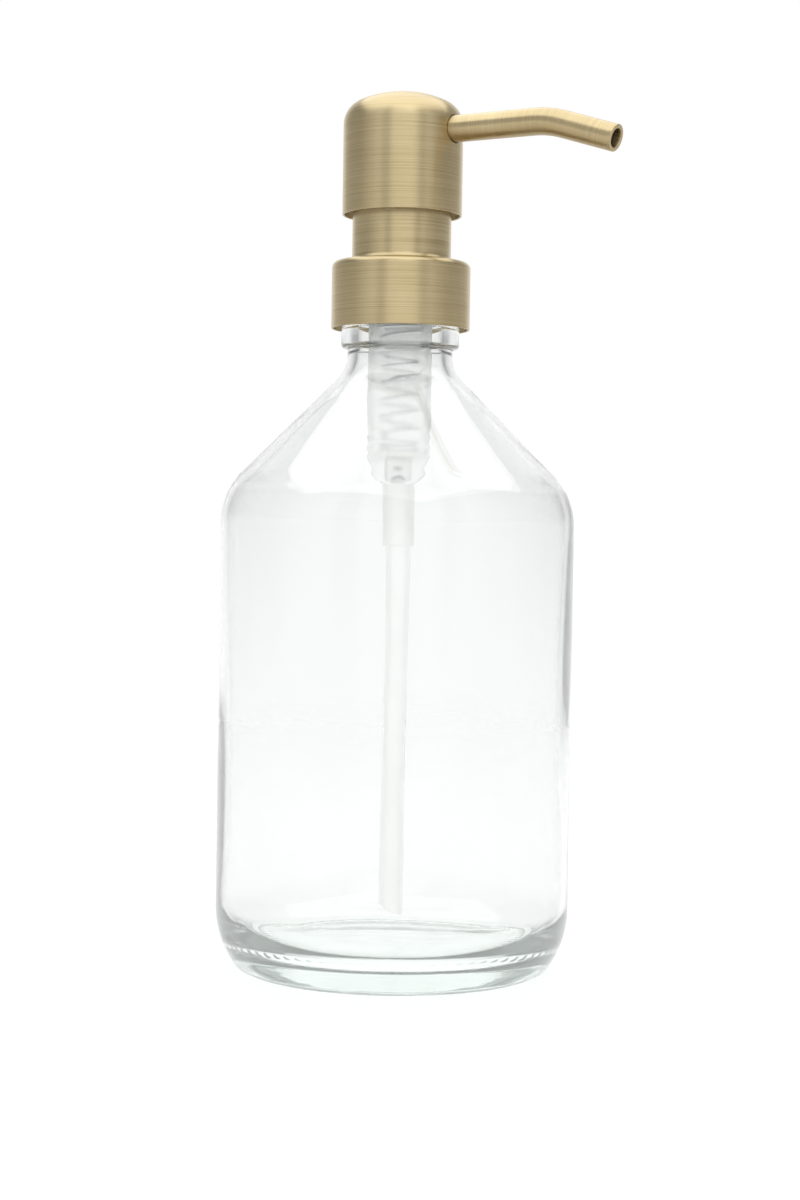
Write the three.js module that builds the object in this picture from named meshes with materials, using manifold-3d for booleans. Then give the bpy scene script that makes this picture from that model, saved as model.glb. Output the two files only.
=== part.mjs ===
// A refillable soap pump dispenser: a round clear-glass bottle with a screw-on lotion pump whose head,
// spout, neck sleeve and collar are thin brushed metal shells over moulded plastic.
// Millimetres, +Z up. The origin is on the bottle's axis in the plane it stands on, and the spout points
// along +X. Every piece is a separate closed solid, and neighbours keep a small gap.

import * as THREE from 'three';
import { mergeVertices } from 'three/addons/utils/BufferGeometryUtils.js';
import Module from 'manifold-3d';

const wasm = await Module();
wasm.setup();

// ---- driving dimensions ------------------------------------------------------------------------------

const GAP = 0.25; // between pieces that rest on each other
const FINE = 40; // sides of the large round pieces
const MEDIUM = 24;
const COARSE = 16; // sides of the small inner pieces

// bottle
const BODY_R = 42.8;
const WALL = 2.4;
const HEEL_R = 23; // outer curve from the body to the foot
const HEEL_TOP = 15;
const FOOT_R = 37.4; // outer edge of the flat ring the bottle stands on
const FOOT_INNER_R = 33.5;
const PUSH_UP_R = 20;
const PUSH_UP = 1;
const FLOOR_TOP = 6.5;
const FLOOR_CORNER_R = 14;
const SHOULDER_R = 18;
const SHOULDER_CONE_SUM = 157.8; // radius + height along the 45-degree shoulder
const NECK_R = 12.7;
const NECK_FILLET_R = 8;
const BEAD_R = 14.27;
const BEAD_BOTTOM = 150;
const BEAD_TOP = 156;
const BEAD_EDGE = 0.7;
const FINISH_R = 12.5; // neck under the thread
const LIP_TOP = 166.6;
const LIP_EDGE = 0.8;

// screw thread shared by the neck and the closure: right-handed
const PITCH = 4.233;
const THREAD_TURNS = 1.25;
const NECK_THREAD_START = 158.6;
const NECK_THREAD = { pathR: 12.4, wireR: 1.25 };
const CLOSURE_THREAD = { pathR: 14, wireR: 1.1 };

// collar: heights above the bottle's lip
const COLLAR_R = 16.75;
const COLLAR_BOTTOM = -11.8;
const COLLAR_TOP = 4.4;
const COLLAR_CORNER_R = 1.6;
const SHELL = 0.5; // thickness of the metal shells
const SHELL_GAP = 0.3; // between a metal shell and the plastic inside it
const CLOSURE_BOTTOM = -10.1;
const CLOSURE_BORE_R = 13.95;
const CLOSURE_WALL_BOTTOM = 2.3;
const COLLAR_HOLE_R = 11.8;

// pump unit that stands on the lip
const FLANGE_R = 13.2;
const GASKET_R = 12.6;
const GASKET_TOP = 0.95;
const FLANGE_TOP = 2;
const HOUSING_R = 7.7;
const CYLINDER_R = 6.6;
const HOUSING_TOP = 9.4;
const CONE_TOP = -43.6;
const CONE_BOTTOM = -49.6;
const NIPPLE_R = 3.7;
const NIPPLE_BOTTOM = -64.1;
const TUBE_R = 2.8;
const TUBE_BORE_R = 2;
const TUBE_BOTTOM = -153.6;
const TUBE_CUT_DEG = 30;
const SLEEVE_R = 11.95;
const SLEEVE_WALL = 0.4;
const SLEEVE_TOP = 19.4;
const SLEEVE_FOOT_R = 12.4;
const SLEEVE_FOOT = 1.2;
const GUIDE_PLATE_BOTTOM = 13.3;
const GUIDE_PLATE_TOP = 14.9;

// inlet valve
const INLET_BALL_R = 2;
const INLET_TRAVEL = 1.4;
const THROAT_R = 1.5;
const CHAMBER_R = 2.9;
const CYLINDER_FLOOR = -43.5;
const RETAINER = 1;
const RETAINER_HOLE_R = 0.8;
const RETAINER_HOLES_AT = 1.7;
const BALL_SLACK = 0.15; // between a seated ball and its cone, in both valves

// plunger: heights above the lip, at rest
const STEM_R = 3.2;
const STEM_BORE_R = 1.9;
const STEM_BOTTOM = -3.1;
const PISTON_TOP = -3.4;
const PISTON_BOTTOM = -8.6;
const ROD_R = 2.2;
const ROD_BORE_R = 1.1;
const ROD_FLANGE_R = 5.6;
const ROD_FLANGE = 1.8;
const ROD_BOTTOM = -12.6;
const SPRING_R = 4.6;
const SPRING_WIRE_R = 0.45;
const SPRING_TURNS = 9;
const PISTON_LIP = 0.8;

// head: heights above its rim
const HEAD_RIM = 15.6; // above the lip
const HEAD_R = 14.45;
const HEAD_CORNER_R = 6;
const HEAD_CROWN_R = 26;
const HEAD_TOP = 29.6;
const INSERT_SKIRT_BOTTOM = 2;
const INSERT_SKIRT_WALL = 1.1;
const INSERT_BOTTOM = 15.6;
const INSERT_TOP = 23.6;
const SOCKET_R = 5.6;
const SOCKET_BOTTOM = 11.4;
const STEM_TOP = 16.3;
const OUTLET_BALL_R = 1.6;
const OUTLET_TRAVEL = 1.2;
const OUTLET_PASSAGE_R = 1.3;
const OUTLET_CHAMBER_R = 2.2;
const OUTLET_THROAT_R = 1.1;

// spout
const SPOUT_R = 3.2;
const SPOUT_BORE_R = 2.2;
const SPOUT_HEIGHT = 19.85;
const SPOUT_ROOT_X = 5;
const SPOUT_BEND_X = 39.6;
const SPOUT_TIP_X = 56.8;
const SPOUT_DROP_DEG = 17.4;
const SPOUT_BEND_R = 20;
const SEAL_X = 9.1;
const SEAL_R = 3.85;
const SEAL_WIRE_R = 0.5;

// ---- materials ---------------------------------------------------------------------------------------

const material = (color, roughness, metalness, extra = {}) =>
  new THREE.MeshStandardMaterial({ color, roughness, metalness, ...extra });

const GLASS = material(0xeaf0ec, 0.05, 0, { transparent: true, opacity: 0.35 });
const BRASS = material(0xc4ab7c, 0.32, 1);
const WHITE_PLASTIC = material(0xeceae4, 0.45, 0);
const CLEAR_PLASTIC = material(0xdfe2dc, 0.25, 0, { transparent: true, opacity: 0.7 });
const SEAL_RUBBER = material(0xd8d6cf, 0.7, 0);
const STEEL = material(0xb9bcc0, 0.25, 1);

// ---- helpers -----------------------------------------------------------------------------------------

const at = (r, z) => new THREE.Vector2(r, z);

// Points on an arc in the (radius, height) plane, angles in degrees from the outward direction.
function arc(centreR, centreZ, radius, fromDeg, toDeg, steps) {
  return Array.from({ length: steps + 1 }, (_, i) => {
    const angle = THREE.MathUtils.degToRad(fromDeg + ((toDeg - fromDeg) * i) / steps);
    return at(centreR + radius * Math.cos(angle), centreZ + radius * Math.sin(angle));
  });
}

// A manifold solid from a closed three.js geometry.
function solidOf(geometry) {
  geometry.deleteAttribute('normal');
  geometry.deleteAttribute('uv');
  const merged = mergeVertices(geometry);
  const corners = merged.index.array;
  const triVerts = [];
  for (let i = 0; i < corners.length; i += 3) {
    const [a, b, c] = corners.slice(i, i + 3);
    if (a !== b && b !== c && c !== a) triVerts.push(a, b, c);
  }
  const vertProperties = new Float32Array(merged.attributes.position.array);
  return new wasm.Manifold(
    new wasm.Mesh({ numProp: 3, vertProperties, triVerts: new Uint32Array(triVerts) }),
  );
}

// An outline in the (radius, height) plane turned about Z.
function turned(outline, sides) {
  const loop = THREE.ShapeUtils.area(outline) < 0 ? [...outline].reverse() : [...outline];
  return solidOf(new THREE.LatheGeometry([...loop, loop[0]], sides).rotateX(Math.PI / 2));
}

// A plain ring, or a disc where the inner radius is 0.
const ring = (innerR, outerR, bottom, top, sides) =>
  turned([at(innerR, bottom), at(outerR, bottom), at(outerR, top), at(innerR, top)], sides);

// A round rod along +X from one x to another, at a height.
function rodAlongX(radius, fromX, toX, height, sides) {
  const rod = new THREE.CylinderGeometry(radius, radius, toX - fromX, sides);
  return solidOf(rod.rotateZ(Math.PI / 2).translate((fromX + toX) / 2, 0, height));
}

// A right-handed helix about Z. rise(turn) gives the height at that many turns.
class Helix extends THREE.Curve {
  constructor(radius, turns, rise) {
    super();
    Object.assign(this, { radius, turns, rise });
  }

  getPoint(t, target = new THREE.Vector3()) {
    const turn = t * this.turns;
    const angle = 2 * Math.PI * turn;
    const [x, y] = [this.radius * Math.cos(angle), this.radius * Math.sin(angle)];
    return target.set(x, y, this.rise(turn));
  }
}

// A round bar, or a tube if it has a bore, along a curve.
function barAlong(curve, radius, boreR, sides, steps) {
  const section = new THREE.Shape().absarc(0, 0, radius, 0, 2 * Math.PI);
  if (boreR) section.holes.push(new THREE.Path().absarc(0, 0, boreR, 0, 2 * Math.PI, true));
  const options = { steps, curveSegments: sides / 2, extrudePath: curve, bevelEnabled: false };
  return solidOf(new THREE.ExtrudeGeometry(section, options));
}

function thread({ pathR, wireR }, startHeight) {
  const curve = new Helix(pathR, THREAD_TURNS, (turn) => startHeight + PITCH * turn);
  return barAlong(curve, wireR, 0, 8, 25);
}

function mesh(name, solid, look) {
  const { vertProperties, triVerts } = solid.getMesh();
  const geometry = new THREE.BufferGeometry();
  geometry.setAttribute('position', new THREE.BufferAttribute(vertProperties, 3));
  geometry.setIndex(new THREE.BufferAttribute(triVerts, 1));
  geometry.computeVertexNormals();
  const made = new THREE.Mesh(geometry, look);
  made.name = name;
  return made;
}

// ---- bottle ------------------------------------------------------------------------------------------

function glassBottle() {
  const heelR = BODY_R - HEEL_R;
  const shoulderR = BODY_R - SHOULDER_R;
  const shoulderZ = SHOULDER_CONE_SUM - shoulderR - SHOULDER_R * Math.SQRT2;
  const filletR = NECK_R + NECK_FILLET_R;
  const filletZ = SHOULDER_CONE_SUM - filletR + NECK_FILLET_R * Math.SQRT2;
  const innerR = BODY_R - WALL;
  const outside = [
    at(0, PUSH_UP),
    at(PUSH_UP_R, PUSH_UP),
    at(FOOT_INNER_R, 0),
    at(FOOT_R - 0.9, 0),
    at(FOOT_R, 0.5),
    ...arc(heelR, HEEL_TOP, HEEL_R, -37, 0, 5),
    ...arc(shoulderR, shoulderZ, SHOULDER_R, 0, 45, 5),
    ...arc(filletR, filletZ, NECK_FILLET_R, 225, 180, 4),
    at(NECK_R, BEAD_BOTTOM),
    at(BEAD_R - BEAD_EDGE, BEAD_BOTTOM),
    at(BEAD_R, BEAD_BOTTOM + BEAD_EDGE),
    at(BEAD_R, BEAD_TOP - BEAD_EDGE),
    at(BEAD_R - BEAD_EDGE, BEAD_TOP),
    at(FINISH_R, BEAD_TOP),
    at(FINISH_R, LIP_TOP - LIP_EDGE),
    at(FINISH_R - LIP_EDGE, LIP_TOP),
  ];
  const inside = [
    at(NECK_R - WALL, LIP_TOP),
    ...arc(filletR, filletZ, NECK_FILLET_R + WALL, 180, 225, 4),
    ...arc(shoulderR, shoulderZ, SHOULDER_R - WALL, 45, 0, 4),
    ...arc(innerR - FLOOR_CORNER_R, FLOOR_TOP + FLOOR_CORNER_R, FLOOR_CORNER_R, 0, -90, 5),
    at(0, FLOOR_TOP),
  ];
  const blank = turned([...outside, ...inside], FINE);
  return mesh('glass_bottle', blank.add(thread(NECK_THREAD, NECK_THREAD_START)), GLASS);
}

// ---- collar ------------------------------------------------------------------------------------------

function collarShell() {
  const outerCorner = [COLLAR_R - COLLAR_CORNER_R, COLLAR_TOP - COLLAR_CORNER_R];
  const outline = [
    at(COLLAR_R - SHELL, COLLAR_BOTTOM),
    at(COLLAR_R, COLLAR_BOTTOM),
    ...arc(...outerCorner, COLLAR_CORNER_R, 0, 90, 4),
    at(COLLAR_HOLE_R, COLLAR_TOP),
    at(COLLAR_HOLE_R, COLLAR_TOP - SHELL),
    ...arc(...outerCorner, COLLAR_CORNER_R - SHELL, 90, 0, 4),
  ];
  return mesh('collar_shell', turned(outline, FINE), BRASS);
}

function threadedClosure() {
  const outerR = COLLAR_R - SHELL - SHELL_GAP;
  const top = COLLAR_TOP - SHELL - SHELL_GAP;
  const outline = [
    at(CLOSURE_BORE_R, CLOSURE_BOTTOM),
    at(outerR, CLOSURE_BOTTOM),
    at(outerR, top - COLLAR_CORNER_R),
    at(outerR - COLLAR_CORNER_R, top),
    at(COLLAR_HOLE_R, top),
    at(COLLAR_HOLE_R, CLOSURE_WALL_BOTTOM),
    at(CLOSURE_BORE_R, CLOSURE_WALL_BOTTOM),
  ];
  // It sits half a pitch from the neck's thread, so the two run in each other's grooves.
  const start = NECK_THREAD_START - LIP_TOP + PITCH / 2;
  const solid = turned(outline, FINE).add(thread(CLOSURE_THREAD, start));
  return mesh('threaded_closure', solid, WHITE_PLASTIC);
}

// ---- pump unit that stands on the lip ----------------------------------------------------------------

function neckSleeve() {
  const bottom = COLLAR_TOP + GAP;
  const innerR = SLEEVE_R - SLEEVE_WALL;
  const outline = [
    at(innerR, bottom),
    at(SLEEVE_FOOT_R, bottom),
    at(SLEEVE_R + 0.1, bottom + SLEEVE_FOOT / 2),
    at(SLEEVE_R, bottom + SLEEVE_FOOT),
    at(SLEEVE_R, SLEEVE_TOP),
    at(innerR, SLEEVE_TOP),
  ];
  return mesh('neck_sleeve', turned(outline, FINE), BRASS);
}

function guideCap() {
  const outerR = SLEEVE_R - SLEEVE_WALL - SHELL_GAP;
  const top = SLEEVE_TOP - SHELL_GAP;
  const outline = [
    at(HOUSING_R + GAP, FLANGE_TOP + GAP),
    at(outerR, FLANGE_TOP + GAP),
    at(outerR, top),
    at(outerR - 1, top),
    at(outerR - 1, GUIDE_PLATE_TOP),
    at(STEM_R + GAP, GUIDE_PLATE_TOP),
    at(STEM_R + GAP, GUIDE_PLATE_BOTTOM),
    at(HOUSING_R + GAP, GUIDE_PLATE_BOTTOM),
  ];
  return mesh('guide_cap', turned(outline, MEDIUM), WHITE_PLASTIC);
}

// Heights of the inlet valve, from the retainer above the ball down to the throat.
const inletBallZ = CYLINDER_FLOOR - INLET_TRAVEL - INLET_BALL_R;
const inletConeApex = inletBallZ - BALL_SLACK - INLET_BALL_R * Math.SQRT2;

function pumpHousing() {
  const throatTop = inletConeApex + THROAT_R;
  const outline = [
    at(TUBE_R + GAP, NIPPLE_BOTTOM),
    at(NIPPLE_R, NIPPLE_BOTTOM),
    at(NIPPLE_R, CONE_BOTTOM),
    at(HOUSING_R, CONE_TOP),
    at(HOUSING_R, GASKET_TOP + GAP),
    at(FLANGE_R, GASKET_TOP + GAP),
    at(FLANGE_R, FLANGE_TOP),
    at(HOUSING_R, FLANGE_TOP),
    at(HOUSING_R, HOUSING_TOP),
    at(CYLINDER_R, HOUSING_TOP),
    at(CYLINDER_R, CYLINDER_FLOOR),
    at(CHAMBER_R, CYLINDER_FLOOR),
    at(CHAMBER_R, inletConeApex + CHAMBER_R),
    at(THROAT_R, throatTop),
    at(THROAT_R, throatTop - 1),
    at(TUBE_R + GAP, throatTop - 1),
  ];
  return mesh('pump_housing', turned(outline, MEDIUM), CLEAR_PLASTIC);
}

const neckGasket = () =>
  mesh('neck_gasket', ring(HOUSING_R + GAP, GASKET_R, GAP, GASKET_TOP, MEDIUM), SEAL_RUBBER);

// The tube's foot is cut on the slant, so that it can't seal itself against the floor.
function dipTube() {
  const top = inletConeApex + THROAT_R - 1 - GAP;
  const tube = ring(TUBE_BORE_R, TUBE_R, TUBE_BOTTOM, top, COARSE);
  const slant = THREE.MathUtils.degToRad(TUBE_CUT_DEG);
  const cutter = new THREE.BoxGeometry(30, 30, 10).translate(0, 0, -5).rotateY(slant);
  const cut = cutter.translate(0, 0, TUBE_BOTTOM + TUBE_R * Math.tan(slant));
  return mesh('dip_tube', tube.subtract(solidOf(cut)), CLEAR_PLASTIC);
}

function inletBall() {
  const ball = mesh('inlet_ball', solidOf(new THREE.SphereGeometry(INLET_BALL_R, 12, 8)), STEEL);
  ball.position.z = inletBallZ;
  return ball;
}

// A disc on the cylinder's floor: the ball stops against it, and liquid passes through its holes.
function ballRetainer() {
  const bottom = CYLINDER_FLOOR + GAP;
  let disc = ring(0, CYLINDER_R - GAP, bottom, bottom + RETAINER, MEDIUM);
  for (let i = 0; i < 3; i += 1) {
    const angle = (i * 2 * Math.PI) / 3;
    const hole = new THREE.CylinderGeometry(RETAINER_HOLE_R, RETAINER_HOLE_R, 4, 10);
    const [x, y] = [RETAINER_HOLES_AT * Math.cos(angle), RETAINER_HOLES_AT * Math.sin(angle)];
    hole.rotateX(Math.PI / 2).translate(x, y, bottom);
    disc = disc.subtract(solidOf(hole));
  }
  return mesh('ball_retainer', disc, WHITE_PLASTIC);
}

// ---- plunger -----------------------------------------------------------------------------------------

// A waisted ring with a sealing lip at each end.
function piston() {
  const lipR = CYLINDER_R - 0.2;
  const waistR = CYLINDER_R - 1;
  const outline = [
    at(ROD_R + GAP, PISTON_BOTTOM),
    at(lipR, PISTON_BOTTOM),
    at(lipR, PISTON_BOTTOM + PISTON_LIP),
    at(waistR, PISTON_BOTTOM + 2 * PISTON_LIP),
    at(waistR, PISTON_TOP - 2 * PISTON_LIP),
    at(lipR, PISTON_TOP - PISTON_LIP),
    at(lipR, PISTON_TOP),
    at(ROD_R + GAP, PISTON_TOP),
  ];
  return mesh('piston', turned(outline, MEDIUM), WHITE_PLASTIC);
}

// The hollow rod that the piston sits on: its spigot goes up into the stem.
function pistonRod() {
  const flangeTop = PISTON_BOTTOM - GAP;
  const spigotR = STEM_BORE_R - GAP;
  const outline = [
    at(ROD_BORE_R, ROD_BOTTOM),
    at(ROD_R, ROD_BOTTOM),
    at(ROD_R, flangeTop - ROD_FLANGE),
    at(ROD_FLANGE_R, flangeTop - ROD_FLANGE),
    at(ROD_FLANGE_R, flangeTop),
    at(ROD_R, flangeTop),
    at(ROD_R, STEM_BOTTOM - GAP),
    at(spigotR, STEM_BOTTOM - GAP),
    at(spigotR, STEM_BOTTOM + 4),
    at(ROD_BORE_R, STEM_BOTTOM + 4),
  ];
  return mesh('piston_rod', turned(outline, COARSE), WHITE_PLASTIC);
}

// A compression spring whose first and last turns lie closed.
function returnSpring() {
  const bottom = CYLINDER_FLOOR + GAP + RETAINER + GAP + SPRING_WIRE_R;
  const top = PISTON_BOTTOM - GAP - ROD_FLANGE - GAP - SPRING_WIRE_R;
  const closedPitch = 2 * SPRING_WIRE_R + GAP;
  const openPitch = (top - bottom - 2 * closedPitch) / (SPRING_TURNS - 2);
  const rise = (turn) => {
    const open = THREE.MathUtils.clamp(turn - 1, 0, SPRING_TURNS - 2);
    return bottom + closedPitch * (turn - open) + openPitch * open;
  };
  const curve = new Helix(SPRING_R, SPRING_TURNS, rise);
  return mesh('return_spring', barAlong(curve, SPRING_WIRE_R, 0, 6, 12 * SPRING_TURNS), STEEL);
}

// ---- head: heights above its rim ---------------------------------------------------------------------

const outletBallZ = STEM_TOP - OUTLET_TRAVEL - OUTLET_BALL_R;
const outletConeApex = outletBallZ - BALL_SLACK - OUTLET_BALL_R * Math.SQRT2;

// Outline of the domed top, from the wall to the axis: a corner arc that runs into a flatter crown.
function dome(thickness, steps) {
  const cornerR = HEAD_R - HEAD_CORNER_R;
  const crownZ = HEAD_TOP - HEAD_CROWN_R;
  const rise = Math.sqrt((HEAD_CROWN_R - HEAD_CORNER_R) ** 2 - cornerR ** 2);
  const joinDeg = THREE.MathUtils.radToDeg(Math.atan2(rise, cornerR));
  const corner = arc(cornerR, crownZ + rise, HEAD_CORNER_R - thickness, 0, joinDeg, steps);
  return [...corner, ...arc(0, crownZ, HEAD_CROWN_R - thickness, joinDeg, 90, 3).slice(1)];
}

function headShell() {
  const outline = [
    at(HEAD_R - SHELL, 0),
    at(HEAD_R, 0),
    ...dome(0, 5),
    ...dome(SHELL, 5).reverse(),
  ];
  const hole = rodAlongX(SPOUT_R + GAP, 0, 2 * HEAD_R, SPOUT_HEIGHT, COARSE);
  return mesh('head_shell', turned(outline, FINE).subtract(hole), BRASS);
}

// The moulded block inside the head: a skirt, a socket for the stem and a socket for the spout.
function headInsert() {
  const outerR = HEAD_R - SHELL - SHELL_GAP;
  const stemSocketR = STEM_R + GAP;
  const stemSocketTop = STEM_TOP + GAP;
  const outline = [
    at(outerR - INSERT_SKIRT_WALL, INSERT_SKIRT_BOTTOM),
    at(outerR, INSERT_SKIRT_BOTTOM),
    at(outerR, INSERT_TOP - 1.6),
    at(outerR - 1.2, INSERT_TOP),
    at(0, INSERT_TOP),
    at(0, SPOUT_HEIGHT),
    at(OUTLET_PASSAGE_R, SPOUT_HEIGHT),
    at(OUTLET_PASSAGE_R, stemSocketTop),
    at(stemSocketR, stemSocketTop),
    at(stemSocketR, SOCKET_BOTTOM),
    at(SOCKET_R, SOCKET_BOTTOM),
    at(SOCKET_R, INSERT_BOTTOM),
    at(outerR - INSERT_SKIRT_WALL, INSERT_BOTTOM),
  ];
  const passage = rodAlongX(SPOUT_BORE_R - 0.4, -SPOUT_BORE_R, HEAD_R, SPOUT_HEIGHT, 12);
  const socket = rodAlongX(SPOUT_R + GAP, SPOUT_ROOT_X - GAP, 2 * HEAD_R, SPOUT_HEIGHT, COARSE);
  const grooveR = SEAL_R + SEAL_WIRE_R + 0.2;
  const grooveHalf = SEAL_WIRE_R + GAP;
  const groove = rodAlongX(grooveR, SEAL_X - grooveHalf, SEAL_X + grooveHalf, SPOUT_HEIGHT, COARSE);
  const block = turned(outline, MEDIUM).subtract(passage).subtract(socket).subtract(groove);
  return mesh('head_insert', block, WHITE_PLASTIC);
}

// The hollow stem. Its bore widens at the top into the outlet valve's seat and chamber.
function upperStem() {
  const bottom = STEM_BOTTOM - HEAD_RIM;
  const outline = [
    at(STEM_BORE_R, bottom),
    at(STEM_R, bottom),
    at(STEM_R, STEM_TOP),
    at(OUTLET_CHAMBER_R, STEM_TOP),
    at(OUTLET_CHAMBER_R, outletConeApex + OUTLET_CHAMBER_R),
    at(OUTLET_THROAT_R, outletConeApex + OUTLET_THROAT_R),
    at(OUTLET_THROAT_R, outletConeApex),
    at(STEM_BORE_R, outletConeApex - 0.8),
  ];
  return mesh('upper_stem', turned(outline, COARSE), WHITE_PLASTIC);
}

function outletBall() {
  const ball = mesh('outlet_ball', solidOf(new THREE.SphereGeometry(OUTLET_BALL_R, 12, 8)), STEEL);
  ball.position.z = outletBallZ;
  return ball;
}

// The spout's centreline: level out of the head, then one easy bend downwards.
function spoutLine() {
  const drop = THREE.MathUtils.degToRad(SPOUT_DROP_DEG);
  const reach = SPOUT_BEND_R * Math.tan(drop / 2);
  const point = (x, z) => new THREE.Vector3(x, 0, z);
  const tipZ = SPOUT_HEIGHT - (SPOUT_TIP_X - SPOUT_BEND_X) * Math.tan(drop);
  const before = point(SPOUT_BEND_X - reach, SPOUT_HEIGHT);
  const after = point(SPOUT_BEND_X + reach * Math.cos(drop), SPOUT_HEIGHT - reach * Math.sin(drop));
  const line = new THREE.CurvePath();
  line.add(new THREE.LineCurve3(point(SPOUT_ROOT_X, SPOUT_HEIGHT), before));
  line.add(new THREE.QuadraticBezierCurve3(before, point(SPOUT_BEND_X, SPOUT_HEIGHT), after));
  line.add(new THREE.LineCurve3(after, point(SPOUT_TIP_X, tipZ)));
  return line;
}

const spoutTube = () =>
  mesh('spout_tube', barAlong(spoutLine(), SPOUT_R, SPOUT_BORE_R, COARSE, 12), BRASS);

function spoutSeal() {
  const ringShape = new THREE.TorusGeometry(SEAL_R, SEAL_WIRE_R, 6, COARSE).rotateY(Math.PI / 2);
  const seal = mesh('spout_seal', solidOf(ringShape), SEAL_RUBBER);
  seal.position.set(SEAL_X, 0, SPOUT_HEIGHT);
  return seal;
}

// ---- assembly ----------------------------------------------------------------------------------------

const head = new THREE.Group();
head.position.z = HEAD_RIM;
head.add(headShell(), headInsert(), upperStem(), outletBall(), spoutTube(), spoutSeal());

const pump = new THREE.Group();
pump.position.z = LIP_TOP;
pump.add(collarShell(), threadedClosure());
pump.add(neckSleeve(), guideCap(), pumpHousing(), neckGasket(), dipTube());
pump.add(inletBall(), ballRetainer(), piston(), pistonRod(), returnSpring(), head);

const dispenser = new THREE.Group();
dispenser.add(glassBottle(), pump);

export default dispenser;
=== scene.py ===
"""Looks of a refillable soap pump dispenser: clear glass bottle, brushed brass lotion pump.

Outlines are written in millimetres as (radius, height) points and turned about the bottle's axis.
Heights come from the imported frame's node boxes, so that each piece lies exactly where its CAD node is.
"""

import math

import bmesh
import bpy
from mathutils import Matrix, Vector


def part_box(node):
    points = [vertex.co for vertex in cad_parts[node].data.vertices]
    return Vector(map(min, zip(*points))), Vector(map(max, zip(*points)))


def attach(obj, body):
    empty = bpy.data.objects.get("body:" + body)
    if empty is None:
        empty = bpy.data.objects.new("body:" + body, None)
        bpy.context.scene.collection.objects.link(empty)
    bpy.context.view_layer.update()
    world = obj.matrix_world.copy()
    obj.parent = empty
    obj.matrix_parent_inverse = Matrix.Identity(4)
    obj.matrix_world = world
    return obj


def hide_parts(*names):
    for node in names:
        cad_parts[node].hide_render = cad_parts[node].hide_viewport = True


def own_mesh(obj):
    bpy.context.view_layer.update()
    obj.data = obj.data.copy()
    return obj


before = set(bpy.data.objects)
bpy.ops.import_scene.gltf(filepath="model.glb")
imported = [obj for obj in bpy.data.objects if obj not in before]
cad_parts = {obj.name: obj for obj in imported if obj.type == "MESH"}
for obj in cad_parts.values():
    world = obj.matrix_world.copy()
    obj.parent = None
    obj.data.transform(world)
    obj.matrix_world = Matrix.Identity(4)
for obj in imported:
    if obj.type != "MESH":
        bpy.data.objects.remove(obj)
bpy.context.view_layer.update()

MM = 0.001

# ---- driving sizes, in millimetres ---------------------------------------------------------------------

WALL = 2.4
HEEL_R = 23
HEEL_TOP = 15
FOOT_R = 37.4
FOOT_EDGE_R = 1.5
FOOT_INNER_R = 33.5
FOOT_STEP = 0.05
KNURL_COUNT = 64
KNURL_DEPTH = 0.55
PUSH_UP_R = 20
PUSH_UP = 1
FLOOR_TOP = 6
FLOOR_CORNER_R = 10
SHOULDER_R = 18
SHOULDER_CONE_SUM = 157.8
NECK_R = 12.7
NECK_FILLET_R = 8
BEAD_R = 14.27
BEAD_BOTTOM = 150
BEAD_TOP = 156
BEAD_EDGE = 1.1
BEAD_ROOT = 0.35
FINISH_R = 12.5
FINISH_ROOT = 0.3
LIP_EDGE = 0.8
LIP_INNER_EDGE = 0.7
PITCH = 4.233
THREAD_TURNS = 1.25
THREAD_START = 158.6
THREAD_HEIGHT = 1.15
THREAD_HALF_WIDTH = 1.25
THREAD_FADE_TURNS = 0.08
WALL_WAVES = ((3, 31, 0.10), (7, -17, 0.07))  # waves round the wall, their climb and their depth
WALL_WAVE_INSET = 0.12
WALL_WAVE_INNER_R = 20

GAP = 0.25
SHELL = 0.5
SHELL_EDGE = 0.12
COLLAR_CORNER_R = 1.6
COLLAR_HOLE_R = 11.8
HEAD_CORNER_R = 6
HEAD_CROWN_R = 26
SLEEVE_WALL = 0.4
SLEEVE_FLARE = 0.45
SLEEVE_FLARE_HEIGHT = 1.2
SMALL_EDGE = 0.2
SPOUT_BORE_R = 2.2
SPOUT_BEND_X = 39.6
SPOUT_DROP_DEG = 17.4
SPOUT_BEND_R = 26
SPOUT_EASE = 0.18
SPOUT_HOLE_GAP = 0.2

# housing heights are from the bottle's lip
HOUSING_R = 7.7
CYLINDER_R = 6.6
CYLINDER_FLOOR = -43.5
CONE_TOP = -43.6
CONE_BOTTOM = -49.6
NIPPLE_R = 3.7
GASKET_TOP = 0.95
FLANGE_TOP = 2
CHAMBER_R = 2.9
THROAT_R = 1.5
THROAT_LENGTH = 1
RING_SPAN = 7.5
RING_COUNT = 3
RING_DEPTH = 0.3
TUBE_BORE_R = 2
TUBE_CUT_DEG = 30
SPRING_WIRE_R = 0.45
SPRING_TURNS = 9

# sides of the round pieces
FINE = 256
MEDIUM = 128
SPOUT_SIDES = 72

SHARP_DEG = 40  # an edge that turns by more than this stays sharp
GLASS_SHARP_DEG = 60
CAD_SHARP_DEG = 35
NEAR = 1e-6  # lengths closer than this count as equal

# ---- camera ---------------------------------------------------------------------------------------------

CAMERA_AZIMUTH_DEG = 31
CAMERA_DISTANCE = 0.55
CAMERA_HEIGHT = 0.1054
CAMERA_DOWN_DEG = 1.67
CAMERA_YAW_DEG = -0.07
CAMERA_ROLL_DEG = 0.88
LENS = 67.95
SENSOR_WIDTH = 36

# ---- surroundings, in metres ----------------------------------------------------------------------------

FLOOR_R = 1.1
FLOOR_FADE_START = 0.2
FLOOR_FADE_END = 0.99
LAMP_SIZE = 2.4
LAMP_HEIGHT = 1.3
LAMP_POWER = 24
OVERHEAD_LEVEL = 0.36
UNDERFOOT_LEVEL = 1.05

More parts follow.
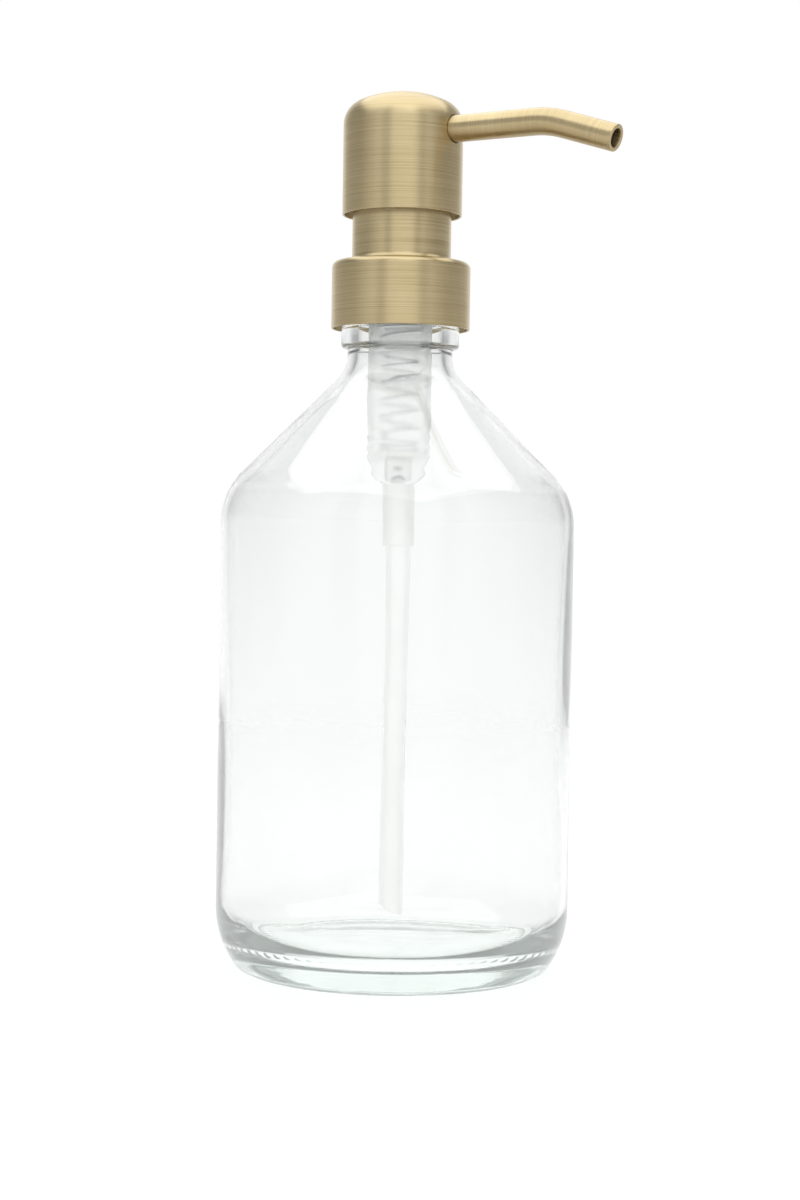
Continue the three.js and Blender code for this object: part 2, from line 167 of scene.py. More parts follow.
# Brightness of the room by direction: degrees round from the camera's side, positive to the camera's right.
ROOM = [
    (-180, 1.0), (-156, 1.0), (-136, 0.46), (-110, 0.32), (-84, 0.27), (-62, 0.54), (-44, 0.84),
    (-39, 0.44), (-27, 0.44), (-22, 1.06), (27, 1.06), (32, 0.48), (43, 0.48), (48, 0.78),
    (64, 0.50), (86, 0.27), (110, 0.34), (136, 0.46), (156, 1.0), (180, 1.0),
]  # fmt: skip


CORNERS = {name: tuple(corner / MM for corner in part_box(name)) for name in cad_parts}


def low(node):
    """Lowest corner of a CAD node, in millimetres."""
    return CORNERS[node][0]


def high(node):
    """Highest corner of a CAD node, in millimetres."""
    return CORNERS[node][1]


def placed(name, data):
    """A new object in the scene."""
    obj = bpy.data.objects.new(name, data)
    bpy.context.scene.collection.objects.link(obj)
    return obj


def add_camera():
    data = bpy.data.cameras.new("camera")
    data.lens = LENS
    data.sensor_width = SENSOR_WIDTH
    camera = placed("camera", data)
    turn = Matrix.Rotation(math.radians(CAMERA_AZIMUTH_DEG + CAMERA_YAW_DEG), 4, "Z")
    tilt = Matrix.Rotation(math.radians(90 - CAMERA_DOWN_DEG), 4, "X")
    roll = Matrix.Rotation(math.radians(-CAMERA_ROLL_DEG), 4, "Y")
    camera.matrix_world = turn @ roll @ tilt
    place = Matrix.Rotation(math.radians(CAMERA_AZIMUTH_DEG), 4, "Z")
    camera.location = place @ Vector((0, -CAMERA_DISTANCE, CAMERA_HEIGHT))
    bpy.context.scene.camera = camera


# ---- mesh helpers ---------------------------------------------------------------------------------------


def arc(centre_r, centre_z, radius, start_deg, end_deg, steps):
    """Points on an arc in the (radius, height) plane."""
    points = []
    for i in range(steps + 1):
        a = math.radians(start_deg + (end_deg - start_deg) * i / steps)
        points.append((centre_r + radius * math.cos(a), centre_z + radius * math.sin(a)))
    return points


def straight(start, end, steps):
    """Points along a straight stretch, without its first point."""
    (r0, z0), (r1, z1) = start, end
    return [(r0 + (r1 - r0) * i / steps, z0 + (z1 - z0) * i / steps) for i in range(1, steps + 1)]


def mesh_from(name, bm):
    mesh = bpy.data.meshes.new(name)
    bm.to_mesh(mesh)
    bm.free()
    return mesh


def new_object(name, bm, material, sharp_deg=SHARP_DEG):
    """A smooth piece whose edges stay sharp where they turn by more than sharp_deg."""
    bmesh.ops.recalc_face_normals(bm, faces=bm.faces)
    mesh = mesh_from(name, bm)
    mesh.shade_smooth()
    mesh.set_sharp_from_angle(angle=math.radians(sharp_deg))
    mesh.materials.append(material)
    return placed(name, mesh)


def turned(name, outline, sides, material, shape=None, sharp_deg=SHARP_DEG):
    """Turns an outline about Z, and closes it where neither end is on the axis.

    shape(angle, r, z) may move a point. Points on the axis are shared. The UV layer "run" has the
    share of the turn and the length along the outline.
    """
    bm = bmesh.new()
    uv = bm.loops.layers.uv.new("run")
    run = [0.0]
    for (r0, z0), (r1, z1) in zip(outline, outline[1:]):
        run.append(run[-1] + math.hypot(r1 - r0, z1 - z0))
    rows = []
    for r, z in outline:
        if r < NEAR:
            rows.append([bm.verts.new((0, 0, z * MM))])
            continue
        row = []
        for i in range(sides):
            a = 2 * math.pi * i / sides
            rr, zz = shape(a, r, z) if shape else (r, z)
            row.append(bm.verts.new((rr * MM * math.cos(a), rr * MM * math.sin(a), zz * MM)))
        rows.append(row)
    pairs = [(k, k + 1) for k in range(len(rows) - 1)]
    if len(rows[0]) > 1 and len(rows[-1]) > 1:
        pairs.append((len(rows) - 1, 0))
    for k, m in pairs:
        a, b = rows[k], rows[m]
        for i in range(sides):
            j = (i + 1) % sides
            if len(a) == 1 and len(b) == 1:
                break
            if len(a) == 1:
                corners, us, vs = (a[0], b[i], b[j]), (i, i, i + 1), (k, m, m)
            elif len(b) == 1:
                corners, us, vs = (a[i], b[0], a[j]), (i, i, i + 1), (k, m, k)
            else:
                corners, us, vs = (a[i], b[i], b[j], a[j]), (i, i, i + 1, i + 1), (k, m, m, k)
            face = bm.faces.new(corners)
            for loop, u, v in zip(face.loops, us, vs):
                loop[uv].uv = (u / sides, run[v] * MM)
    return new_object(name, bm, material, sharp_deg)


# ---- materials ------------------------------------------------------------------------------------------


class Nodes:
    """A short way to write the node tree of a material or a world."""

    def __init__(self, owner):
        owner.use_nodes = True
        self.owner = owner
        self.tree = owner.node_tree
        self.tree.nodes.clear()

    def add(self, kind, inputs=None, **settings):
        """Adds a node. An input that is another node's socket is linked, and any other is set."""
        node = self.tree.nodes.new(kind)
        for key, value in settings.items():
            setattr(node, key, value)
        for key, value in (inputs or {}).items():
            if isinstance(value, bpy.types.NodeSocket):
                self.tree.links.new(value, node.inputs[key])
            else:
                node.inputs[key].default_value = value
        return node

    def place(self):
        return self.add("ShaderNodeTexCoord").outputs["Object"]

    def math(self, operation, a, b):
        return self.add("ShaderNodeMath", {0: a, 1: b}, operation=operation).outputs[0]

    def noise(self, vector, scale, detail, roughness=0.5):
        inputs = {"Vector": vector, "Scale": scale, "Detail": detail, "Roughness": roughness}
        return self.add("ShaderNodeTexNoise", inputs).outputs["Fac"]

    def mapped(self, value, start, end, new_start, new_end, interpolation="LINEAR"):
        """Carries a value over from start..end to new_start..new_end, and holds it at the ends."""
        inputs = {"Value": value, "From Min": start, "From Max": end, "To Min": new_start, "To Max": new_end}
        return self.add("ShaderNodeMapRange", inputs, interpolation_type=interpolation).outputs[0]

    def ramp(self, factor, stops):
        node = self.add("ShaderNodeValToRGB", {"Fac": factor})
        elements = node.color_ramp.elements
        while len(elements) < len(stops):
            elements.new(0.5)
        for element, (position, colour) in zip(elements, stops):
            element.position = position
            element.color = (*colour, 1)
        return node.outputs["Color"]

    def blend(self, factor, start, end):
        """A colour mix has its factor at input 0, its colours at 6 and 7, and its result at output 2."""
        inputs = {0: factor, 6: start, 7: (*end, 1)}
        return self.add("ShaderNodeMix", inputs, data_type="RGBA").outputs[2]

    def bump(self, height, strength, distance):
        inputs = {"Height": height, "Strength": strength, "Distance": distance}
        return self.add("ShaderNodeBump", inputs).outputs[0]

    def principled(self, inputs):
        return self.add("ShaderNodeBsdfPrincipled", inputs).outputs[0]

    def transparent(self, colour):
        return self.add("ShaderNodeBsdfTransparent", {"Color": (*colour, 1)}).outputs[0]

    def mix(self, factor, first, second):
        return self.add("ShaderNodeMixShader", {0: factor, 1: first, 2: second}).outputs[0]

    def see_through(self, shader, tint, share, dimmed):
        """Lamps pass straight through, and so does a dimmed share of the light that is mirrored inside."""
        path = self.add("ShaderNodeLightPath")
        leak = self.mix(share, shader, self.transparent(dimmed))
        inside = self.mix(path.outputs["Is Reflection Ray"], shader, leak)
        return self.mix(path.outputs["Is Shadow Ray"], inside, self.transparent(tint))

    def output(self, surface, volume=None):
        inputs = {"Surface": surface}
        if volume is not None:
            inputs["Volume"] = volume
        self.add("ShaderNodeOutputMaterial", inputs)
        return self.owner


def grey(value):
    return (value, value, value)


def brushed_brass(name, ringed, rings_per_metre):
    """Satin brass with fine lines that run round each piece. ringed is the share of its deeper lines. Faces
    that point downwards get painted shade: their colour is darkened towards a deep brown.
    """
    n = Nodes(bpy.data.materials.new(name))
    coords = n.add("ShaderNodeTexCoord")
    place = coords.outputs["Object"]
    facing = n.add("ShaderNodeSeparateXYZ", {0: coords.outputs["Normal"]}).outputs["Z"]
    uv = n.add("ShaderNodeUVMap", uv_map="run").outputs[0]
    run = n.add("ShaderNodeSeparateXYZ", {0: uv}).outputs["Y"]
    parts = n.add("ShaderNodeSeparateXYZ", {0: place})

    def lines(round_scale, across_scale, detail):
        """Noise drawn out round the piece. Both scales are per metre."""
        stretched = {
            "X": n.math("MULTIPLY", parts.outputs["X"], round_scale),
            "Y": n.math("MULTIPLY", parts.outputs["Y"], round_scale),
            "Z": n.math("MULTIPLY", run, across_scale),
        }
        return n.noise(n.add("ShaderNodeCombineXYZ", stretched).outputs[0], 1.0, detail, 0.65)

    fine = lines(26, 7600, 3)
    coarse = lines(12, rings_per_metre, 2)
    cloud = n.noise(place, 60, 3)
    both = n.math("ADD", n.math("MULTIPLY", fine, 1 - ringed), n.math("MULTIPLY", coarse, ringed))
    tone = n.math("ADD", n.math("MULTIPLY", both, 0.8), n.math("MULTIPLY", cloud, 0.2))
    stops = [
        (0.30, (0.38, 0.285, 0.15)),
        (0.45, (0.545, 0.44, 0.25)),
        (0.57, (0.625, 0.52, 0.31)),
        (0.75, (0.74, 0.635, 0.405)),
    ]
    # painted shade: the more a face points downwards, the more its colour is darkened, standing in for the
    # shade under rims
    painted_underside_shade = n.mapped(facing, 0.15, -0.75, 0.0, 0.62, "SMOOTHSTEP")
    shader = n.principled(
        {
            # the deep brown blended in here is painted shade on downward faces
            "Base Color": n.blend(painted_underside_shade, n.ramp(tone, stops), (0.22, 0.145, 0.06)),
            "Metallic": 1.0,
            "Roughness": n.mapped(both, 0.3, 0.7, 0.28, 0.37),
            "Anisotropic": 0.7,
            "Anisotropic Rotation": 0.25,
            "Normal": n.bump(both, 0.22, 0.00004),
            "Tangent": n.add("ShaderNodeTangent", direction_type="UV_MAP", uv_map="run").outputs[0],
        },
    )
    return n.output(shader)


def clear_glass():
    """Soda-lime glass: a trace of green in the thick base, and faint waviness in the surface."""
    n = Nodes(bpy.data.materials.new("clear_glass"))
    drawn_out = n.add("ShaderNodeVectorMath", {0: n.place(), 1: (55, 55, 12)}, operation="MULTIPLY")
    streaks = n.noise(drawn_out.outputs[0], 1.0, 2)
    glass = n.principled(
        {
            "Base Color": n.ramp(streaks, [(0.3, (0.953, 0.960, 0.957)), (0.7, (0.969, 0.974, 0.971))]),
            "Roughness": 0.0,
            "IOR": 1.5,
            "Transmission Weight": 1.0,
            "Normal": n.bump(streaks, 0.07, 0.002),
        },
    )
    volume = n.add("ShaderNodeVolumeAbsorption", {"Color": (0.74, 0.92, 0.85, 1), "Density": 4.5})
    surface = n.see_through(glass, (0.94, 0.95, 0.945), 0.12, (0.94, 0.96, 0.95))
    return n.output(surface, volume.outputs[0])


def moulded_plastic(name, dark, light, roughness):
    """Pigmented plastic or rubber, softly clouded, with a fine grain."""
    n = Nodes(bpy.data.materials.new(name))
    place = n.place()
    grain = n.noise(place, 5200, 2)
    shader = n.principled(
        {
            "Base Color": n.ramp(n.noise(place, 140, 4), [(0.3, dark), (0.7, light)]),
            "Roughness": n.mapped(grain, 0.3, 0.7, roughness - 0.06, roughness + 0.08),
            "IOR": 1.5,
            "Normal": n.bump(grain, 0.15, 0.00004),
        },
    )
    return n.output(shader)


def natural_plastic():
    """Unpigmented plastic: clear with a faint haze, so that only its edges show."""
    n = Nodes(bpy.data.materials.new("natural_plastic"))
    cloud = n.noise(n.place(), 35, 1)
    hazy = n.principled(
        {
            "Base Color": n.ramp(cloud, [(0.3, (0.970, 0.973, 0.965)), (0.7, (0.992, 0.992, 0.988))]),
            "Roughness": n.mapped(cloud, 0.3, 0.7, 0.34, 0.42),
            "IOR": 1.14,
            "Transmission Weight": 0.86,
            "Normal": n.bump(cloud, 0.02, 0.0003),
        },
    )
    return n.output(n.see_through(hazy, (0.97, 0.97, 0.965), 1.0, grey(0.98)))


def spring_steel():
    """Drawn steel wire with a fine grain."""
    n = Nodes(bpy.data.materials.new("spring_steel"))
    grain = n.noise(n.place(), 900, 4)
    shader = n.principled(
        {
            "Base Color": n.ramp(grain, [(0.3, (0.76, 0.77, 0.78)), (0.7, (0.88, 0.89, 0.90))]),
            "Metallic": 1.0,
            "Roughness": n.mapped(grain, 0.0, 1.0, 0.18, 0.34),
            "Normal": n.bump(grain, 0.2, 0.00003),
        },
    )
    return n.output(shader)


def floor_material():
    """Pale paper that fades into the surroundings towards its edge."""
    n = Nodes(bpy.data.materials.new("pale_floor"))
    place = n.place()
    colour = n.ramp(n.noise(place, 400, 3), [(0.3, grey(0.93)), (0.7, grey(0.96))])
    paper = n.principled({"Base Color": colour, "Roughness": 0.6})
    away = n.add("ShaderNodeVectorMath", {0: place}, operation="LENGTH").outputs["Value"]
    fade = n.mapped(away, FLOOR_FADE_START, FLOOR_FADE_END, 0.0, 1.0, "SMOOTHSTEP")
    return n.output(n.mix(fade, paper, n.transparent(grey(1.0))))


BRASS = brushed_brass("brushed_brass", 0.25, 2600)
RINGED_BRASS = brushed_brass("ringed_brass", 0.8, 1500)
GLASS = clear_glass()
NATURAL = natural_plastic()
WHITE = moulded_plastic("white_plastic", (0.90, 0.90, 0.88), (0.94, 0.94, 0.92), 0.45)
SEAL = moulded_plastic("seal_rubber", (0.70, 0.69, 0.66), (0.78, 0.77, 0.74), 0.65)
STEEL = spring_steel()


# ---- bottle ---------------------------------------------------------------------------------------------


def bottle_outlines():
    """The outside from the middle of the base up to the lip, and the inside from the lip down."""
    body_r = high("glass_bottle").x
    lip = high("glass_bottle").z
    heel_r = body_r - HEEL_R
    shoulder_r = body_r - SHOULDER_R
    shoulder_z = SHOULDER_CONE_SUM - shoulder_r - SHOULDER_R * math.sqrt(2)
    fillet_r = NECK_R + NECK_FILLET_R
    fillet_z = SHOULDER_CONE_SUM - fillet_r + NECK_FILLET_R * math.sqrt(2)
    foot_r = FOOT_R - FOOT_EDGE_R
    outside = [(0, PUSH_UP), *straight((0, PUSH_UP), (PUSH_UP_R, PUSH_UP), 6)]
    outside += straight((PUSH_UP_R, PUSH_UP), (FOOT_INNER_R, FOOT_STEP), 8)
    outside += straight((FOOT_INNER_R, 0.0), (foot_r, 0.0), 5)
    outside += arc(foot_r, FOOT_EDGE_R, FOOT_EDGE_R, -80, -42, 4)
    outside += arc(heel_r, HEEL_TOP, HEEL_R, -38, 0, 24)
    outside += straight((body_r, HEEL_TOP), (body_r, shoulder_z), 30)
    outside += arc(shoulder_r, shoulder_z, SHOULDER_R, 0, 45, 15)[1:]
    cone_low = outside[-1]
    neck = arc(fillet_r, fillet_z, NECK_FILLET_R, 225, 180, 12)
    outside += straight(cone_low, neck[0], 12)[:-1] + neck
    outside += [(NECK_R, BEAD_BOTTOM - BEAD_ROOT), (NECK_R + BEAD_ROOT, BEAD_BOTTOM)]
    outside += arc(BEAD_R - BEAD_EDGE, BEAD_BOTTOM + BEAD_EDGE, BEAD_EDGE, -90, 0, 6)
    outside += arc(BEAD_R - BEAD_EDGE, BEAD_TOP - BEAD_EDGE, BEAD_EDGE, 0, 90, 6)
    finish_foot = (FINISH_R, BEAD_TOP + FINISH_ROOT)
    outside += [(FINISH_R + FINISH_ROOT, BEAD_TOP), finish_foot]
    outside += straight(finish_foot, (FINISH_R, lip - LIP_EDGE), 44)
    outside += arc(FINISH_R - LIP_EDGE, lip - LIP_EDGE, LIP_EDGE, 0, 90, 6)[1:]
    bore_r = NECK_R - WALL
    bore_top = lip - LIP_INNER_EDGE
    inside = arc(bore_r + LIP_INNER_EDGE, bore_top, LIP_INNER_EDGE, 90, 180, 4)
    inside += straight((bore_r, bore_top), (bore_r, fillet_z), 8)
    inside += arc(fillet_r, fillet_z, NECK_FILLET_R + WALL, 180, 225, 12)[1:]
    inner_shoulder = arc(shoulder_r, shoulder_z, SHOULDER_R - WALL, 45, 0, 14)
    inside += straight(inside[-1], inner_shoulder[0], 12)[:-1] + inner_shoulder
    inner_r = body_r - WALL
    corner_z = FLOOR_TOP + FLOOR_CORNER_R
    inside += straight((inner_r, shoulder_z), (inner_r, corner_z), 26)
    corner = arc(inner_r - FLOOR_CORNER_R, corner_z, FLOOR_CORNER_R, 0, -90, 16)
    inside += corner[1:] + straight(corner[-1], (0, FLOOR_TOP), 12)
    return outside, inside


def thread_rise(angle, z):
    """Height of the neck's thread above its root at an angle and a height: a rounded ridge on a helix."""
    turn = angle / (2 * math.pi)
    best = 0.0
    for k in range(-1, 3):
        along = turn + k
        if not 0 <= along <= THREAD_TURNS:
            continue
        fade = min(1.0, along / THREAD_FADE_TURNS, (THREAD_TURNS - along) / THREAD_FADE_TURNS)
        off = abs(z - (THREAD_START + PITCH * along)) / THREAD_HALF_WIDTH
        if off < 1:
            best = max(best, THREAD_HEIGHT * fade * math.sqrt(1 - off * off))
    return best


def bottle_shape(angle, r, z):
    """Moves a point of the plain bottle, for the thread, the knurled foot and the glass's unevenness."""
    if z > BEAD_TOP + FINISH_ROOT and abs(r - FINISH_R) < NEAR:
        return r + thread_rise(angle, z), z
    if z == 0 and FOOT_INNER_R < r < FOOT_R - FOOT_EDGE_R:
        return r, KNURL_DEPTH * (0.5 - 0.5 * math.cos(KNURL_COUNT * angle))
    inner_r = high("glass_bottle").x - WALL
    if FLOOR_TOP - NEAR < z < SHOULDER_CONE_SUM and WALL_WAVE_INNER_R < r <= inner_r + NEAR:
        wave = sum(depth * math.sin(count * angle + z / climb) for count, climb, depth in WALL_WAVES)
        return r + wave - WALL_WAVE_INSET, z
    return r, z


def glass_bottle():
    outside, inside = bottle_outlines()
    obj = turned("bottle_glass", outside + inside, FINE, GLASS, bottle_shape, GLASS_SHARP_DEG)
    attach(obj, "bottle")
    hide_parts("glass_bottle")


# ---- metal shells ---------------------------------------------------------------------------------------


def shell_rim(outer_r, bottom):
    """Outline of a metal shell's lower rim, from its inside to its outside."""
    inner_r, edge = outer_r - SHELL, SHELL_EDGE
    inside = [(inner_r, bottom + edge), (inner_r + edge, bottom)]
    return inside + [(outer_r - edge, bottom), (outer_r, bottom + edge)]


def collar_shell():
    outer_r, bottom, top = high("collar_shell").x, low("collar_shell").z, high("collar_shell").z
    centre = (outer_r - COLLAR_CORNER_R, top - COLLAR_CORNER_R)
    outline = shell_rim(outer_r, bottom)
    outline += straight(outline[-1], (outer_r, centre[1]), 12)
    outline += arc(*centre, COLLAR_CORNER_R, 6, 90, 12)
    outline += straight((centre[0], top), (COLLAR_HOLE_R, top), 6)
    outline += [(COLLAR_HOLE_R, top - SHELL)]
    outline += arc(*centre, COLLAR_CORNER_R - SHELL, 90, 0, 8)
    obj = turned("collar_skin", outline, FINE, BRASS)
    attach(obj, "collar")
    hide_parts("collar_shell")


def neck_sleeve():
    bottom, top, foot_r = low("neck_sleeve").z, high("neck_sleeve").z, high("neck_sleeve").x
    outer_r = foot_r - SLEEVE_FLARE
    inner_r = outer_r - SLEEVE_WALL
    outline = [(inner_r, bottom), (foot_r, bottom)]
    steps = 10
    for i in range(1, steps + 1):
        left = 1 - math.sin(math.pi / 2 * i / steps)
        outline.append((outer_r + SLEEVE_FLARE * left, bottom + SLEEVE_FLARE_HEIGHT * i / steps))
    outline += straight(outline[-1], (outer_r, top - SMALL_EDGE), 16)
    outline += [(outer_r - SMALL_EDGE, top), (inner_r, top)]
    obj = turned("sleeve_skin", outline, FINE, RINGED_BRASS)
    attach(obj, "pump_unit")
    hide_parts("neck_sleeve")


def head_dome(thickness, outer_r, top, steps):
    """Outline of the head's top from its wall to the axis."""
    corner_r = outer_r - HEAD_CORNER_R
    crown_z = top - HEAD_CROWN_R
    rise = math.sqrt((HEAD_CROWN_R - HEAD_CORNER_R) ** 2 - corner_r**2)
    join = math.degrees(math.atan2(rise, corner_r))
    points = arc(corner_r, crown_z + rise, HEAD_CORNER_R - thickness, 0, join, steps)
    return points + arc(0, crown_z, HEAD_CROWN_R - thickness, join, 90, steps)[1:]


def head_shell():
    outer_r, bottom, top = high("head_shell").x, low("head_shell").z, high("head_shell").z
    outside = head_dome(0, outer_r, top, 18)
    outline = shell_rim(outer_r, bottom)
    outline += straight(outline[-1], outside[0], 14)[:-1] + outside
    outline += list(reversed(head_dome(SHELL, outer_r, top, 12)))
    obj = turned("head_skin", outline, FINE, BRASS)
    drill_spout_hole(obj)
    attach(obj, "head")
    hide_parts("head_shell")


def drill_spout_hole(obj):
    """Cuts the spout's round hole through the shell's +X side."""
    radius = (spout_radius() + SPOUT_HOLE_GAP) * MM
    depth = 30 * MM
    turn = Matrix.Translation((depth / 2, 0, spout_height() * MM)) @ Matrix.Rotation(math.pi / 2, 4, "Y")
    bm = bmesh.new()
    bmesh.ops.create_cone(
        bm, cap_ends=True, segments=96, radius1=radius, radius2=radius, depth=depth, matrix=turn
    )
    cutter = placed("hole", mesh_from("hole", bm))
    cut = obj.modifiers.new("hole", "BOOLEAN")
    cut.object = cutter
    cut.operation = "DIFFERENCE"
    cut.solver = "EXACT"
    with bpy.context.temp_override(object=obj, active_object=obj, selected_objects=[obj]):
        bpy.ops.object.modifier_apply(modifier=cut.name)
    bpy.data.objects.remove(cutter)
    obj.data.set_sharp_from_angle(angle=math.radians(SHARP_DEG))


# ---- spout ----------------------------------------------------------------------------------------------


def spout_radius():
    return high("spout_tube").y


def spout_height():
    return high("spout_tube").z - spout_radius()


def spout_path():
    """(x, z, drop in radians) along the spout: level, an arc, then a straight slope down."""
    root_x = low("spout_tube").x
    z = spout_height()
    drop = math.radians(SPOUT_DROP_DEG)
    reach = SPOUT_BEND_R * math.tan(drop / 2)
    tip_x = high("spout_tube").x - spout_radius() * math.sin(drop)
    path = []
    level_steps, bend_steps, end_steps = 24, 20, 14
    for i in range(level_steps):
        x = root_x + (SPOUT_BEND_X - reach - root_x) * i / level_steps
        path.append((x, z, 0.0))
    centre = (SPOUT_BEND_X - reach, z - SPOUT_BEND_R)
    for i in range(bend_steps + 1):
        a = drop * i / bend_steps
        path.append((centre[0] + SPOUT_BEND_R * math.sin(a), centre[1] + SPOUT_BEND_R * math.cos(a), a))
    x0, z0, _ = path[-1]
    length = (tip_x - x0) / math.cos(drop)
    for i in range(1, end_steps + 1):
        d = length * i / end_steps
        path.append((x0 + d * math.cos(drop), z0 - d * math.sin(drop), drop))
    return path


def spout_tube():
    """The bent tube, hollow, with slightly eased edges at its open tip."""
    path = spout_path()
    outer, bore, ease, sides = spout_radius(), SPOUT_BORE_R, SPOUT_EASE, SPOUT_SIDES
    x1, z1, a1 = path[-1]
    rings = [(*p, outer) for p in path[:-1]]

    def back(distance):
        """The spot on the path at a distance back from its tip."""
        return x1 - distance * math.cos(a1), z1 + distance * math.sin(a1), a1

    rings += [(*back(ease), outer), (*back(ease * 0.3), outer - ease * 0.3), (*back(0), outer - ease)]
    rings += [(*back(0), bore + ease), (*back(ease * 0.3), bore + ease * 0.3), (*back(ease), bore)]
    rings += [(*p, bore) for p in reversed(path[:-1])]
    bm = bmesh.new()
    uv = bm.loops.layers.uv.new("run")
    rows, run = [], [0.0]
    for i, (x, z, a, radius) in enumerate(rings):
        row = []
        for k in range(sides):
            t = 2 * math.pi * k / sides
            side, up = radius * math.cos(t), radius * math.sin(t)
            row.append(bm.verts.new(((x + up * math.sin(a)) * MM, side * MM, (z + up * math.cos(a)) * MM)))
        rows.append(row)
        if i:
            px, pz, _, pr = rings[i - 1]
            run.append(run[-1] + math.hypot(math.hypot(x - px, z - pz), radius - pr))
    for k in range(len(rows)):
        a, b = rows[k], rows[(k + 1) % len(rows)]
        v0, v1 = run[k], run[(k + 1) % len(rows)]
        for i in range(sides):
            j = (i + 1) % sides
            face = bm.faces.new((a[i], b[i], b[j], a[j]))
            for loop, u, v in zip(face.loops, (i, i, i + 1, i + 1), (v0, v1, v1, v0)):
                loop[uv].uv = (u / sides, v * MM)
    obj = new_object("spout_pipe", bm, BRASS)
    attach(obj, "head")
    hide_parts("spout_tube")


# ---- pump housing and dip tube --------------------------------------------------------------------------


def pump_housing():
    """The cylinder with its flange, three shallow rings above the foot, and the nipple for the tube."""
    lip = high("glass_bottle").z
    bottom, top, flange_r = low("pump_housing").z, high("pump_housing").z, high("pump_housing").x
    tube_hole_r = high("dip_tube").x + GAP
    throat_bottom = high("dip_tube").z + GAP
    cone_top, flange_bottom = lip + CONE_TOP, lip + GASKET_TOP + GAP
    outline = [(tube_hole_r, bottom), (NIPPLE_R - SMALL_EDGE, bottom), (NIPPLE_R, bottom + SMALL_EDGE)]
    outline += straight(outline[-1], (NIPPLE_R, lip + CONE_BOTTOM), 10)
    outline += straight((NIPPLE_R, lip + CONE_BOTTOM), (HOUSING_R, cone_top), 8)
    steps = 48
    for i in range(1, steps + 1):
        dip = RING_DEPTH * (0.5 - 0.5 * math.cos(2 * math.pi * RING_COUNT * i / steps))
        outline.append((HOUSING_R - dip, cone_top + RING_SPAN * i / steps))
    outline += straight((HOUSING_R, cone_top + RING_SPAN), (HOUSING_R, flange_bottom), 16)
    outline += [(flange_r, flange_bottom), (flange_r, lip + FLANGE_TOP), (HOUSING_R, lip + FLANGE_TOP)]
    outline += [(HOUSING_R, top), (CYLINDER_R, top)]
    outline += straight((CYLINDER_R, top), (CYLINDER_R, lip + CYLINDER_FLOOR), 20)
    throat_top = throat_bottom + THROAT_LENGTH
    outline += [(CHAMBER_R, lip + CYLINDER_FLOOR), (CHAMBER_R, throat_top + CHAMBER_R - THROAT_R)]
    outline += [(THROAT_R, throat_top), (THROAT_R, throat_bottom), (tube_hole_r, throat_bottom)]
    obj = turned("housing_skin", outline, MEDIUM, NATURAL)
    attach(obj, "pump_unit")
    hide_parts("pump_housing")


def dip_tube():
    """The tube, with its foot cut on the slant."""
    bottom, top, outer_r = low("dip_tube").z, high("dip_tube").z, high("dip_tube").x
    slope = math.tan(math.radians(TUBE_CUT_DEG))

    def slanted(angle, r, z):
        return r, bottom + (outer_r - r * math.cos(angle)) * slope if z == bottom else z

    outline = [(TUBE_BORE_R, bottom), (outer_r, bottom)]
    outline += straight((outer_r, bottom + 2 * outer_r * slope + 1), (outer_r, top), 24)
    outline += [(TUBE_BORE_R, top)]
    obj = turned("tube_skin", outline, MEDIUM, NATURAL, slanted)
    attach(obj, "pump_unit")
    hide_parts("dip_tube")


def return_spring():
    """A compression spring with closed end turns. It rides on the plunger."""
    bottom, top = low("return_spring").z, high("return_spring").z
    path_r = high("return_spring").x - SPRING_WIRE_R
    closed_pitch = 2 * SPRING_WIRE_R + GAP
    first, last = bottom + SPRING_WIRE_R, top - SPRING_WIRE_R
    open_turns = SPRING_TURNS - 2
    open_pitch = (last - first - 2 * closed_pitch) / open_turns
    steps_per_turn, sides = 48, 12
    bm = bmesh.new()
    rows = []
    spots = [2 * math.pi * k / sides for k in range(sides)]
    for i in range(SPRING_TURNS * steps_per_turn + 1):
        turn = i / steps_per_turn
        opened = min(max(turn - 1, 0), open_turns)
        angle = 2 * math.pi * turn
        outward = Vector((math.cos(angle), math.sin(angle), 0))
        height = first + closed_pitch * (turn - opened) + open_pitch * opened
        centre = outward * path_r + Vector((0, 0, height))
        around = [outward * math.cos(t) + Vector((0, 0, math.sin(t))) for t in spots]
        rows.append([bm.verts.new((centre + way * SPRING_WIRE_R) * MM) for way in around])
    for a, b in zip(rows, rows[1:]):
        for k in range(sides):
            m = (k + 1) % sides
            bm.faces.new((a[k], b[k], b[m], a[m]))
    bm.faces.new(rows[0])
    bm.faces.new(reversed(rows[-1]))
    obj = new_object("spring_wire", bm, STEEL)
    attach(obj, "plunger")
    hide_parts("return_spring")
    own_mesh(obj)


# ---- carried-over pieces --------------------------------------------------------------------------------

CAD_LOOKS = {
    "threaded_closure": WHITE,
    "guide_cap": WHITE,
    "neck_gasket": SEAL,
    "ball_retainer": WHITE,
    "inlet_ball": STEEL,
    "piston": WHITE,
    "piston_rod": WHITE,
    "upper_stem": WHITE,
    "outlet_ball": STEEL,
    "head_insert": WHITE,
    "spout_seal": SEAL,
}


def dress_cad_nodes():
    for name, material in CAD_LOOKS.items():
        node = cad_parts[name]
        node.data.materials.clear()
        node.data.materials.append(material)
        node.data.shade_smooth()
        node.data.set_sharp_from_angle(angle=math.radians(CAD_SHARP_DEG))


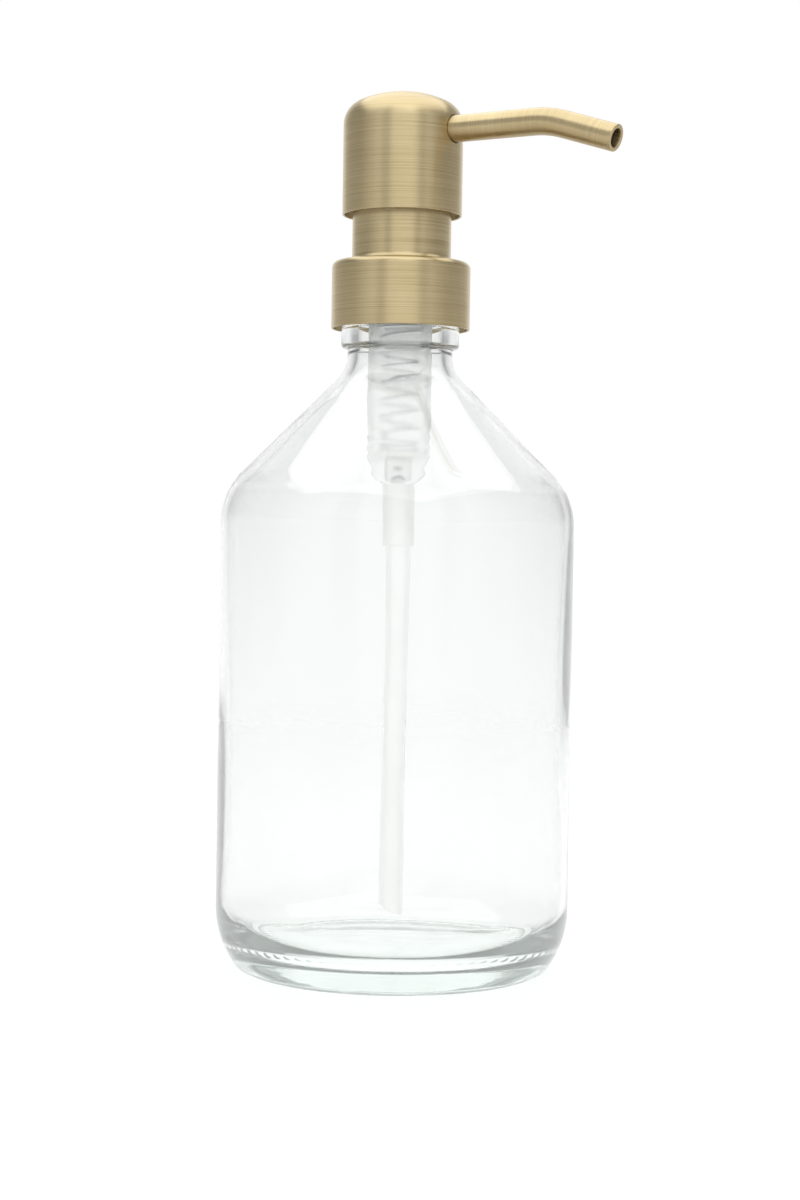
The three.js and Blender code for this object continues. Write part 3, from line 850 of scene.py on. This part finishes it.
# ---- floor, room and lamp -------------------------------------------------------------------------------


def add_floor():
    bm = bmesh.new()
    bmesh.ops.create_circle(bm, cap_ends=True, segments=96, radius=FLOOR_R)
    mesh = mesh_from("floor", bm)
    mesh.materials.append(floor_material())
    floor = placed("floor", mesh)


def add_room():
    """Soft studio surroundings: bright in front, behind and underfoot, darker to the sides and overhead."""
    n = Nodes(bpy.data.worlds.new("room"))
    bpy.context.scene.world = n.owner
    direction = n.add("ShaderNodeTexCoord").outputs["Generated"]
    to_camera = {"Vector": direction, "Axis": (0, 0, 1), "Angle": math.radians(-CAMERA_AZIMUTH_DEG)}
    parts = n.add("ShaderNodeSeparateXYZ", {0: n.add("ShaderNodeVectorRotate", to_camera).outputs[0]})
    minus_y = n.math("MULTIPLY", parts.outputs["Y"], -1.0)
    angle = n.math("ARCTAN2", parts.outputs["X"], minus_y)
    stops = [((degrees + 180) / 360, grey(level)) for degrees, level in ROOM]
    walls = n.ramp(n.mapped(angle, -math.pi, math.pi, 0.0, 1.0), stops)
    overhead = n.mapped(parts.outputs["Z"], 0.55, 0.85, 0.0, 1.0, "SMOOTHSTEP")
    underfoot = n.mapped(parts.outputs["Z"], 0.14, -0.12, 0.0, 1.0, "SMOOTHSTEP")
    around = n.blend(overhead, walls, grey(OVERHEAD_LEVEL))
    around = n.blend(underfoot, around, grey(UNDERFOOT_LEVEL))
    background = n.add("ShaderNodeBackground", {"Color": around, "Strength": 1.0})
    n.add("ShaderNodeOutputWorld", {"Surface": background.outputs[0]})


def add_light():
    """One large soft light overhead that whitens the floor."""
    data = bpy.data.lights.new("overhead", "AREA")
    data.shape = "RECTANGLE"
    data.size = LAMP_SIZE
    data.size_y = LAMP_SIZE
    data.energy = LAMP_POWER
    placed("overhead", data).location = (0, 0, LAMP_HEIGHT)


bpy.context.scene.view_settings.view_transform = "Standard"

add_camera()
add_floor()
add_room()
add_light()
glass_bottle()
collar_shell()
neck_sleeve()
head_shell()
spout_tube()
pump_housing()
dip_tube()
return_spring()
dress_cad_nodes()
